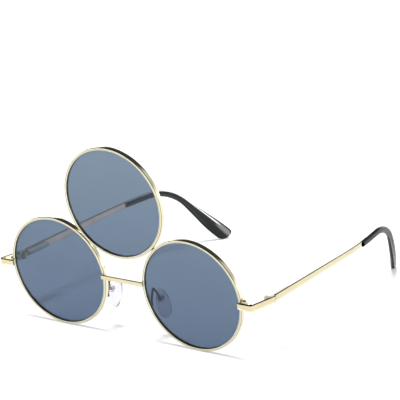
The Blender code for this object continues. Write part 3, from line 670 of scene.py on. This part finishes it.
temple = {
    "outward": 2.0 * mm,        # the strip's middle, out from the hinge pin
    "rise": -0.2 * mm,          # and above it
    "start": 3.65 * mm,
    "plain": 1.5 * mm,          # from the start to the first even section
    "sleeveStart": 77.0 * mm,
    "bendStart": 92.2 * mm,
    "bendRadius": 29.0 * mm,
    "bendDegrees": 49,
    "straight": 29.1 * mm,
    "bowStart": 60.0 * mm,
    "bowRadius": 203.0 * mm,
    "tall": (3.7 * mm, 2.8 * mm),    # at the start and at the sleeve
    "thick": (1.3 * mm, 0.9 * mm),
    "edge": 0.36 * mm,
    "step": 0.4 * mm,           # run over which it steps down to the core
    "core": (1.4 * mm, 0.7 * mm),
    "coreEdge": 0.2 * mm,
    "coreShort": 9.0 * mm,      # how far the core ends before the sleeve does
    "rows": (48, 50),           # sections of the strip and of the core
}
bendRun = temple["bendRadius"] * math.radians(temple["bendDegrees"])
tipRun = temple["bendStart"] + bendRun + temple["straight"]


def templeLine(run):
    # straight, then an arc downwards, then straight; a slow bow inwards starts before the sleeve and goes
    # by the square of the run over twice its radius
    bend = math.radians(temple["bendDegrees"])
    pitch = np.clip(run - temple["bendStart"], 0, bendRun) / temple["bendRadius"]
    rest = np.maximum(run - temple["bendStart"] - bendRun, 0)
    back = np.minimum(run, temple["bendStart"]) + temple["bendRadius"] * np.sin(pitch) + rest * math.cos(bend)
    down = temple["bendRadius"] * (1 - np.cos(pitch)) + rest * math.sin(bend)
    inward = np.maximum(run - temple["bowStart"], 0) ** 2 / (2 * temple["bowRadius"])
    return np.stack([temple["outward"] - inward, back, temple["rise"] - down], axis=-1), pitch


def templeFrames(run, twist):
    # side and up of each section, square to the line there, then turned about it by the twist
    path, pitch = templeLine(run)
    ahead = templeLine(run + 1 * mm)[0] - path
    forward = ahead / np.linalg.norm(ahead, axis=1, keepdims=True)
    hint = np.stack([np.zeros_like(pitch), np.sin(pitch), np.cos(pitch)], axis=-1)
    side = np.cross(forward, hint)
    side /= np.linalg.norm(side, axis=1, keepdims=True)
    up = np.cross(side, forward)
    cos, sin = np.cos(twist)[:, None], np.sin(twist)[:, None]
    return path, forward, side * cos + up * sin, up * cos - side * sin


def makeTemple():
    # a flat bar that narrows to the sleeve, steps down, and runs on as a thin core
    start, mouth = temple["start"], temple["sleeveStart"]
    stripRows, coreRows = temple["rows"]
    strip = np.concatenate([start + barEnd["rows"], np.linspace(start + temple["plain"], mouth, stripRows)])
    core = np.linspace(mouth + temple["step"], tipRun - temple["coreShort"], coreRows)
    run = np.concatenate([strip, core])
    share = np.clip((run - start) / (mouth - start), 0, 1)
    tall = temple["tall"][0] + (temple["tall"][1] - temple["tall"][0]) * share
    thick = temple["thick"][0] + (temple["thick"][1] - temple["thick"][0]) * share
    inCore = run > mouth
    tall[inCore], thick[inCore] = temple["core"]
    draw = np.zeros(len(run))
    draw[:3] = barEnd["draw"] * temple["edge"]
    radius = np.where(inCore, temple["coreEdge"], drawnRadius(temple["edge"], draw))
    path, _, side, up = templeFrames(run, np.zeros(len(run)))
    profile = roundedBar(thick - 2 * draw, tall - 2 * draw, radius)
    pair("temple", fromHinge(carried(path, side, up, profile)), "temple_{}", "temple_{}", goldMetal, "gilt")


sleeve = {
    "slim": (3.1 * mm, 2.4 * mm),      # tall, wide
    "paddle": (7.2 * mm, 2.9 * mm),
    "twistDegrees": 15,
    "skewDegrees": 23,
    "notch": 0.6 * mm,                 # how far the mouth's sides are cut back
    "mouth": 0.02,                     # share of the run by which the cut has faded
    "lip": (0.86, 0.95, 0.99),         # sizes of the first sections, so the lip is rounded
    "power": 2.2,                      # of the superellipse; 2 is an ellipse
    "roof": 0.62,                      # how much thinner the paddle's upper edge is than its foot
    "roofPower": 1.3,
    "swell": (0.50, 0.92),             # shares of the run over which it widens
    "close": 0.935,                    # share at which the end starts to close
    "closePower": 3.5,                 # the higher, the blunter the end
    "clear": 0.3 * mm,                 # bore over core, in both directions
    "flareTall": (0.15 * mm, 0.35 * mm, 0.6 * mm),    # the bore's last sections, where the strip goes in
    "flareWide": (0.1 * mm, 0.2 * mm, 0.35 * mm),
    "sides": 40,
    "boreRows": 40,
    "rows": 110,
}


def sleeveSections(share, paddle, tall, wide, notch):
    # superellipses, thinner above where the paddle is; there the top runs on further than the bottom,
    # by the tangent of the skew, and at the mouth the sides are cut back
    run = temple["sleeveStart"] + (tipRun - temple["sleeveStart"]) * share
    path, forward, side, up = templeFrames(run, math.radians(sleeve["twistDegrees"]) * paddle)
    angle = 2 * math.pi * (np.arange(sleeve["sides"]) + 0.5) / sleeve["sides"]
    across = np.sign(np.cos(angle)) * np.abs(np.cos(angle)) ** (2 / sleeve["power"])
    high = np.sign(np.sin(angle)) * np.abs(np.sin(angle)) ** (2 / sleeve["power"])
    across = across * (1 - sleeve["roof"] * paddle[:, None] * np.maximum(high, 0) ** sleeve["roofPower"])
    skew = math.tan(math.radians(sleeve["skewDegrees"])) * paddle ** 2
    shift = notch[:, None] * (1 - high ** 2) + skew[:, None] * high * tall[:, None] / 2
    return (path[:, None] + side[:, None] * (across * wide[:, None] / 2)[..., None]
            + up[:, None] * (high * tall[:, None] / 2)[..., None] + forward[:, None] * shift[..., None])


def makeSleeve():
    # bore wall from its blind end out to the mouth, round the lip, then the outside to a closed rounded end
    length = tipRun - temple["sleeveStart"]
    blind = 1 - (temple["coreShort"] - sleeve["clear"]) / length
    boreRows = sleeve["boreRows"]
    boreShare = np.linspace(blind, 0.004, boreRows)
    boreTall = np.full(boreRows, temple["core"][0] + sleeve["clear"])
    boreWide = np.full(boreRows, temple["core"][1] + sleeve["clear"])
    boreTall[-3:] += sleeve["flareTall"]
    boreWide[-3:] += sleeve["flareWide"]
    boreNotch = np.where(boreShare < sleeve["mouth"], sleeve["notch"], 0)
    bore = sleeveSections(boreShare, np.zeros(boreRows), boreTall, boreWide, boreNotch)
    # three sections round the lip, then rows that lie closer and closer together towards the end
    t = np.linspace(0, 1, sleeve["rows"])
    share = np.concatenate([[0.0, 0.0015, 0.005], (1 - (1 - t) ** 1.6)[1:] * 0.994 + 0.006])
    swellFrom, swellTo = sleeve["swell"]
    ease = np.clip((share - swellFrom) / (swellTo - swellFrom), 0, 1)
    paddle = ease ** 2 * (3 - 2 * ease)
    closing = np.clip((share - sleeve["close"]) / (1 - sleeve["close"]), 0, 1)
    scale = np.sqrt(np.maximum(1 - closing ** sleeve["closePower"], 0.0004))
    scale[:3] *= sleeve["lip"]
    tall = (sleeve["slim"][0] + (sleeve["paddle"][0] - sleeve["slim"][0]) * paddle) * scale
    wide = (sleeve["slim"][1] + (sleeve["paddle"][1] - sleeve["slim"][1]) * paddle) * scale
    notch = sleeve["notch"] * np.clip(1 - share / sleeve["mouth"], 0, 1)
    outside = sleeveSections(share, paddle, tall, wide, notch)
    grid = fromHinge(np.vstack([bore, outside]))
    pair("templeTip", grid, "temple_{}", "temple_tip_{}", tipBlack, "tip_black", sharp=50)


makeTemple()
makeSleeve()
print("temples and sleeves made")


# Spring cases

springCase = {
    "start": 2.8 * mm,
    "long": 14.5 * mm,
    "thick": 2.1 * mm,
    "tall": 2.3 * mm,
    "edge": 0.90 * mm,
    "bore": 0.8 * mm,         # radius
    "boreDeep": 12.8 * mm,
    "chamfer": 0.1 * mm,      # depth of the bore's widened mouth
    "mouth": 1.12,            # how much wider it is there
}


def makeSpringCase():
    # round bore from its blind end out to the front face, then the box, rounded at both ends along
    # quarter circles, back to its far end
    part = springCase
    steps = 24
    angle = np.arange(steps) * 2 * math.pi / steps + math.pi / steps
    ring = np.stack([np.cos(angle), np.sin(angle)], axis=-1)
    depth = part["start"] + np.array((part["boreDeep"], part["boreDeep"], part["chamfer"], 0.0))
    boreRadius = part["bore"] * np.array((0.4, 1.0, 1.0, part["mouth"]))
    bore = np.stack([ring[None, :, 0] * boreRadius[:, None], np.repeat(depth[:, None], steps, 1),
                     ring[None, :, 1] * boreRadius[:, None]], axis=-1)
    quarter = np.linspace(0, math.pi / 2, 9)
    near = part["edge"] * (1 - np.cos(quarter))
    along = np.concatenate([near, part["long"] - near[::-1]])
    nearDraw = part["edge"] * (1 - np.sin(quarter))
    draw = np.concatenate([nearDraw, nearDraw[::-1]])
    width = part["thick"] - 2 * draw
    height = part["tall"] - 2 * draw
    radius = np.maximum(part["edge"] - 0.5 * draw, 0.02 * mm)
    profile = roundedBar(width, height, radius)
    rows = np.stack([profile[..., 0], np.repeat((part["start"] + along)[:, None], profile.shape[1], 1),
                     profile[..., 1]], axis=-1)
    grid = fromHinge(np.vstack([bore, rows]))
    pair("springCase", grid, "temple_{}", "spring_case_{}", litPaleGold, "gilt", sharp=40)


makeSpringCase()


# Nose pads, their arms and posts

pad = {
    "tall": 13.0 * mm,
    "wide": 7.2 * mm,
    "thick": 2.4 * mm,
    "taper": 0.30,          # how much wider its foot is than its head, as a share
    "ringPower": 0.85,      # below 1 is fuller towards head and foot
    "facePower": 0.9,       # below 1 is flatter on both faces
    "reach": 3.1 * mm,      # from the rocking axis to the pad's middle
    "down": 3.4 * mm,       # the pad's middle below that axis
    "post": 1.3 * mm,
    "postEdge": 0.12 * mm,
    "turnDegrees": -20,     # about its own upright, flatter to the front than its post
    "tipDegrees": -13,      # its foot forward
}


def makePad():
    # a flattened ball, wider towards its foot: powers of the sine make it fuller and its faces flatter
    rows, columns = 41, 48
    polar = np.linspace(0.02, math.pi - 0.02, rows)[:, None]
    around = np.arange(columns)[None] * 2 * math.pi / columns
    high = np.cos(polar) * np.ones_like(around)
    ring = np.sin(polar) ** pad["ringPower"]
    x = pad["wide"] / 2 * ring * np.cos(around) * (1 - pad["taper"] / 2 * high)
    y = pad["thick"] / 2 * ring * np.sign(np.sin(around)) * np.abs(np.sin(around)) ** pad["facePower"]
    z = pad["tall"] / 2 * high
    grid = np.stack([x, y, z], axis=-1) @ turned("X", pad["tipDegrees"]).T
    grid = (grid - (0, 0, pad["down"])) @ turned("Z", pad["turnDegrees"]).T
    grid[..., 1] += pad["reach"]
    pair("nosePad", fromPad(grid), "pad_{}", "nose_pad_{}", padClear, "clear_pad", sharp=60)


def makePost():
    # the pad's square post, reaching from the box into the pad's back
    half = pad["post"] / 2
    back = pad["reach"] - pad["thick"] / 2
    along = np.array((-half, -half + 0.1 * mm, back - 0.05 * mm, back))
    size = pad["post"] - np.array((0.2, 0.0, 0.0, 0.0)) * mm
    profile = roundedBar(size, size, np.full(len(along), pad["postEdge"]), arcSteps=3)
    reach = np.repeat(along[:, None], profile.shape[1], 1)
    grid = np.stack([profile[..., 0], reach, profile[..., 1]], axis=-1)
    pair("padPost", fromPad(grid), "pad_{}", None, padClear, "clear_pad")


padArm = {
    "radius": 0.5 * mm,
    "foot": (12.2, 3.2, -9.8),      # corners of the wire in the front's frame, in millimetres
    "knee": (12.1, 3.5, -6.6),
    "top": (12.0, 5.6, -2.1),
    "boxHalf": 1.3 * mm,            # half the pad box's depth
    "gap": 0.3 * mm,                # between the box and the wire behind it
    "above": 2.2 * mm,              # the wire runs down behind the box from here above the axis
    "below": 0.6 * mm,              # to here below it
    "bend": 1.1 * mm,
    "sides": 16,
}


def smoothPath(corners, reach, steps):
    # straight runs joined by quadratic curves that start and end a reach away from each corner,
    # and never past the middle of a run
    pieces = [corners[:1]]
    for before, corner, after in zip(corners, corners[1:], corners[2:]):
        start, end = (corner + unit(other - corner) * min(reach, np.linalg.norm(other - corner) * 0.45)
                      for other in (before, after))
        t = np.linspace(0, 1, steps)[:, None]
        pieces.append((1 - t) ** 2 * start + 2 * t * (1 - t) * corner + t ** 2 * end)
    return np.vstack([*pieces, corners[-1:]])


def makePadArm():
    # a round wire carried along the smoothed corners
    radius = padArm["radius"]
    behind = -padArm["boxHalf"] - padArm["gap"] - radius
    last = fromPad([(0.0, behind, padArm["above"]), (0.0, behind, -padArm["below"])])
    first = fromFront(np.array([padArm["foot"], padArm["knee"], padArm["top"]]) * mm)
    corners = np.vstack([first, last])
    path = smoothPath(corners, padArm["bend"], 9)
    side, up = pathFrames(path, frontX)
    angle = np.arange(padArm["sides"]) * 2 * math.pi / padArm["sides"]
    circle = radius * np.stack([np.cos(angle), np.sin(angle)], axis=-1)
    pair("padArm", carried(path, side, up, circle), "front", "pad_arm_{}", shadedGold, "gilt", sharp=50)


makePad()
makePost()
makePadArm()
print("spring cases and nose pads made")


# CAD nodes that stay get their finish

finishes = {
    "closing_screw": shadedScrewMetal,
    "pad_screw": shadedGold,
    "hinge_screw": satinGold,
    "hinge_slider": satinGold,
    "hinge_spring": springSteel,
    "spring_lock_ring": springSteel,
    "closing_block": litPaleGold,
    "hinge_leaf": satinGold,
    "pad_box": padClear,
}
for name, node in frame["nodes"].items():
    for start, material in finishes.items():
        if name.startswith(start):
            node.data.materials.clear()
            node.data.materials.append(material)
print("screws, springs and hinges finished")


# Floor, light and camera

def seenDirectly(tree):
    # one for what the camera sees, straight or through a lens, and nothing for light and reflections
    path = tree.nodes.new("ShaderNodeLightPath")
    return computed(tree, "MAXIMUM", path.outputs["Is Camera Ray"], path.outputs["Is Transmission Ray"])


floorPaper = {
    "half": 3.0,         # metres
    "below": 0.1 * mm,   # under the lowest point of the glasses
    "grey": 0.60,
    "glow": 0.36,        # own light, that brings it to white for the camera and leaves the shadow
}


def makeFloor():
    # a pale floor that shows white to the camera and keeps the shadow of the glasses
    half = floorPaper["half"]
    mesh = bpy.data.meshes.new("floor")
    corners = [(-half, -half, 0), (half, -half, 0), (half, half, 0), (-half, half, 0)]
    mesh.from_pydata(corners, [], [(0, 1, 2, 3)])
    material, tree, shader = newMaterial("floorPaper")
    shader.inputs["Base Color"].default_value = (*[floorPaper["grey"]] * 3, 1.0)
    shader.inputs["Roughness"].default_value = 1.0
    shader.inputs["Specular IOR Level"].default_value = 0.0
    shader.inputs["Emission Color"].default_value = (1.0, 1.0, 1.0, 1.0)
    glow = computed(tree, "MULTIPLY", seenDirectly(tree), floorPaper["glow"])
    tree.links.new(glow, shader.inputs["Emission Strength"])
    mesh.materials.append(material)
    floor = bpy.data.objects.new("floor", mesh)
    floor.location.z = -floorPaper["below"]
    bpy.context.scene.collection.objects.link(floor)


studio = {
    # brightness in reflections by the height of the direction looked in, from level to straight up
    "levels": (
        (0.01, 0.9), (0.04, 1.7), (0.12, 1.7), (0.18, 1.0), (0.28, 0.75),
        (0.36, 0.45), (0.46, 0.50), (0.60, 0.60), (0.84, 0.50), (0.92, 1.2),
    ),
    # dark curtains: each pair is where along one axis of the direction they are absent and where full
    "leftOfMiddle": (0.45, 0.33),
    "notFarLeft": (-0.54, -0.42),
    "orHigh": (0.40, 0.46),         # from this height the far left is dark as well
    "frontward": (0.25, -0.10),
    "raised": (0.20, 0.32),
    "dark": (0.04, 0.04, 0.04),
    "fill": (0.97, 0.98, 1.0, 1),    # what lights the glasses from all round
    "fillStrength": 0.55,
}


def mixedShaders(tree, factor, first, second):
    node = tree.nodes.new("ShaderNodeMixShader")
    tree.links.new(factor, node.inputs["Fac"])
    tree.links.new(first, node.inputs[1])
    tree.links.new(second, node.inputs[2])
    return node.outputs[0]


def makeWorld():
    # white behind for the camera; an even fill for light; for reflections a studio whose brightness
    # goes by height, with dark curtains where the larger of left and front, times raised, is one
    world = bpy.data.worlds.new("studio")
    bpy.context.scene.world = world
    world.use_nodes = True
    tree = world.node_tree
    tree.nodes.clear()
    place = tree.nodes.new("ShaderNodeTexCoord")
    split = tree.nodes.new("ShaderNodeSeparateXYZ")
    tree.links.new(place.outputs["Generated"], split.inputs["Vector"])
    ramp = tree.nodes.new("ShaderNodeValToRGB")
    for end, element in enumerate(ramp.color_ramp.elements):
        element.position = end
        element.color = (1, 1, 1, 1)
    for position, level in studio["levels"]:
        ramp.color_ramp.elements.new(position).color = (level, level, level, 1)
    tree.links.new(split.outputs["Z"], ramp.inputs["Fac"])

    def side(axis, name):
        return ranged(tree, split.outputs[axis], 0.0, 1.0, *studio[name])

    farLeft = computed(tree, "MAXIMUM", side("X", "notFarLeft"), side("Z", "orHigh"))
    leftward = computed(tree, "MULTIPLY", side("X", "leftOfMiddle"), farLeft)
    curtain = computed(tree, "MAXIMUM", leftward, side("Y", "frontward"))
    raised = computed(tree, "MULTIPLY", curtain, side("Z", "raised"))
    reflection = tree.nodes.new("ShaderNodeBackground")
    tree.links.new(blended(tree, raised, ramp.outputs["Color"], studio["dark"]), reflection.inputs["Color"])
    plain = addNode(tree, "ShaderNodeBackground", Color=(1, 1, 1, 1), Strength=1.0)
    soft = addNode(tree, "ShaderNodeBackground", Color=studio["fill"], Strength=studio["fillStrength"])
    toSoft = mixedShaders(tree, seenDirectly(tree), soft.outputs[0], plain.outputs[0])
    glossy = tree.nodes.new("ShaderNodeLightPath").outputs["Is Glossy Ray"]
    out = tree.nodes.new("ShaderNodeOutputWorld")
    tree.links.new(mixedShaders(tree, glossy, toSoft, reflection.outputs[0]), out.inputs["Surface"])


cards = (
    # each card's middle in the front's frame, its half width and height and the place it faces, in
    # millimetres: the first shows in the far corner's metal, the second in the far strip's
    {"middle": (-145.0, 118.0, 72.0), "half": (38.0, 38.0), "strength": 1.1, "faces": (-65.0, 5.0, 0.0)},
    {"middle": (-33.0, 82.0, -34.0), "half": (46.0, 18.0), "strength": 1.12, "faces": (-67.0, 82.0, -9.0)},
)


def makeCard(card, number):
    # a white card seen only in reflections, square to the line from its middle to the place it faces
    middle = np.array(card["middle"])
    towards = unit(np.array(card["faces"]) - middle)
    across = unit(np.cross((0.0, 0.0, 1.0), towards))
    upward = np.cross(towards, across)
    corners = [middle + i * card["half"][0] * across + j * card["half"][1] * upward
               for i, j in ((-1, -1), (1, -1), (1, 1), (-1, 1))]
    name = "whiteCard" + str(number)
    mesh = bpy.data.meshes.new(name)
    mesh.from_pydata(fromFront(np.array(corners) * mm).tolist(), [], [(0, 1, 2, 3)])
    material, tree, shader = newMaterial(name)
    shader.inputs["Emission Color"].default_value = (1.0, 1.0, 1.0, 1.0)
    shader.inputs["Emission Strength"].default_value = card["strength"]
    mesh.materials.append(material)
    piece = bpy.data.objects.new(name, mesh)
    bpy.context.scene.collection.objects.link(piece)
    for ray in ("camera", "diffuse", "transmission", "shadow", "volume_scatter"):
        setattr(piece, "visible_" + ray, False)


overhead = {
    "toLight": (0.02, -0.146, 0.989),    # in the plane of the front, so the lenses cast a thin line
    "angleDegrees": 17,
    "strength": 3.9,
}


def makeLamp():
    # a broad far-off light from above that lights the floor evenly and doesn't show in reflections
    light = bpy.data.lights.new("overhead", "SUN")
    light.angle = math.radians(overhead["angleDegrees"])
    light.energy = overhead["strength"]
    lamp = bpy.data.objects.new("overhead", light)
    lamp.rotation_mode = "QUATERNION"
    lamp.rotation_quaternion = Vector(overhead["toLight"]).to_track_quat("Z", "Y")
    lamp.location = (0.0, 0.0, 1.0)
    lamp.visible_glossy = False
    bpy.context.scene.collection.objects.link(lamp)


view = {
    "place": (621.409, -742.902, 442.906),      # millimetres, in the front's frame
    "forward": (-0.563187, 0.729145, -0.388804),
    "up": (-0.134144, 0.383604, 0.913703),
    "lens": 220.181,
    "sensor": 36,
}


def makeCamera():
    # the view's directions in the front's frame are turned into the scene's and made square to each other
    camera = bpy.data.cameras.new("camera")
    camera.lens = view["lens"]
    camera.sensor_width = view["sensor"]
    camera.clip_start = 0.01
    camera.clip_end = 50
    holder = bpy.data.objects.new("camera", camera)
    bpy.context.scene.collection.objects.link(holder)
    back = -unit(np.array(view["forward"]) @ frontAxes)
    right = unit(np.cross(np.array(view["up"]) @ frontAxes, back))
    upright = np.cross(back, right)
    turn = Matrix(np.stack([right, upright, back], axis=1).tolist()).to_4x4()
    holder.matrix_world = Matrix.Translation(Vector(fromFront(np.array(view["place"]) * mm))) @ turn
    bpy.context.scene.camera = holder


makeFloor()
makeWorld()
for number, card in enumerate(cards):
    makeCard(card, number + 1)
makeLamp()
makeCamera()
bpy.context.scene.view_settings.view_transform = "Standard"
print("floor, light and camera set")

bpy.context.view_layer.update()
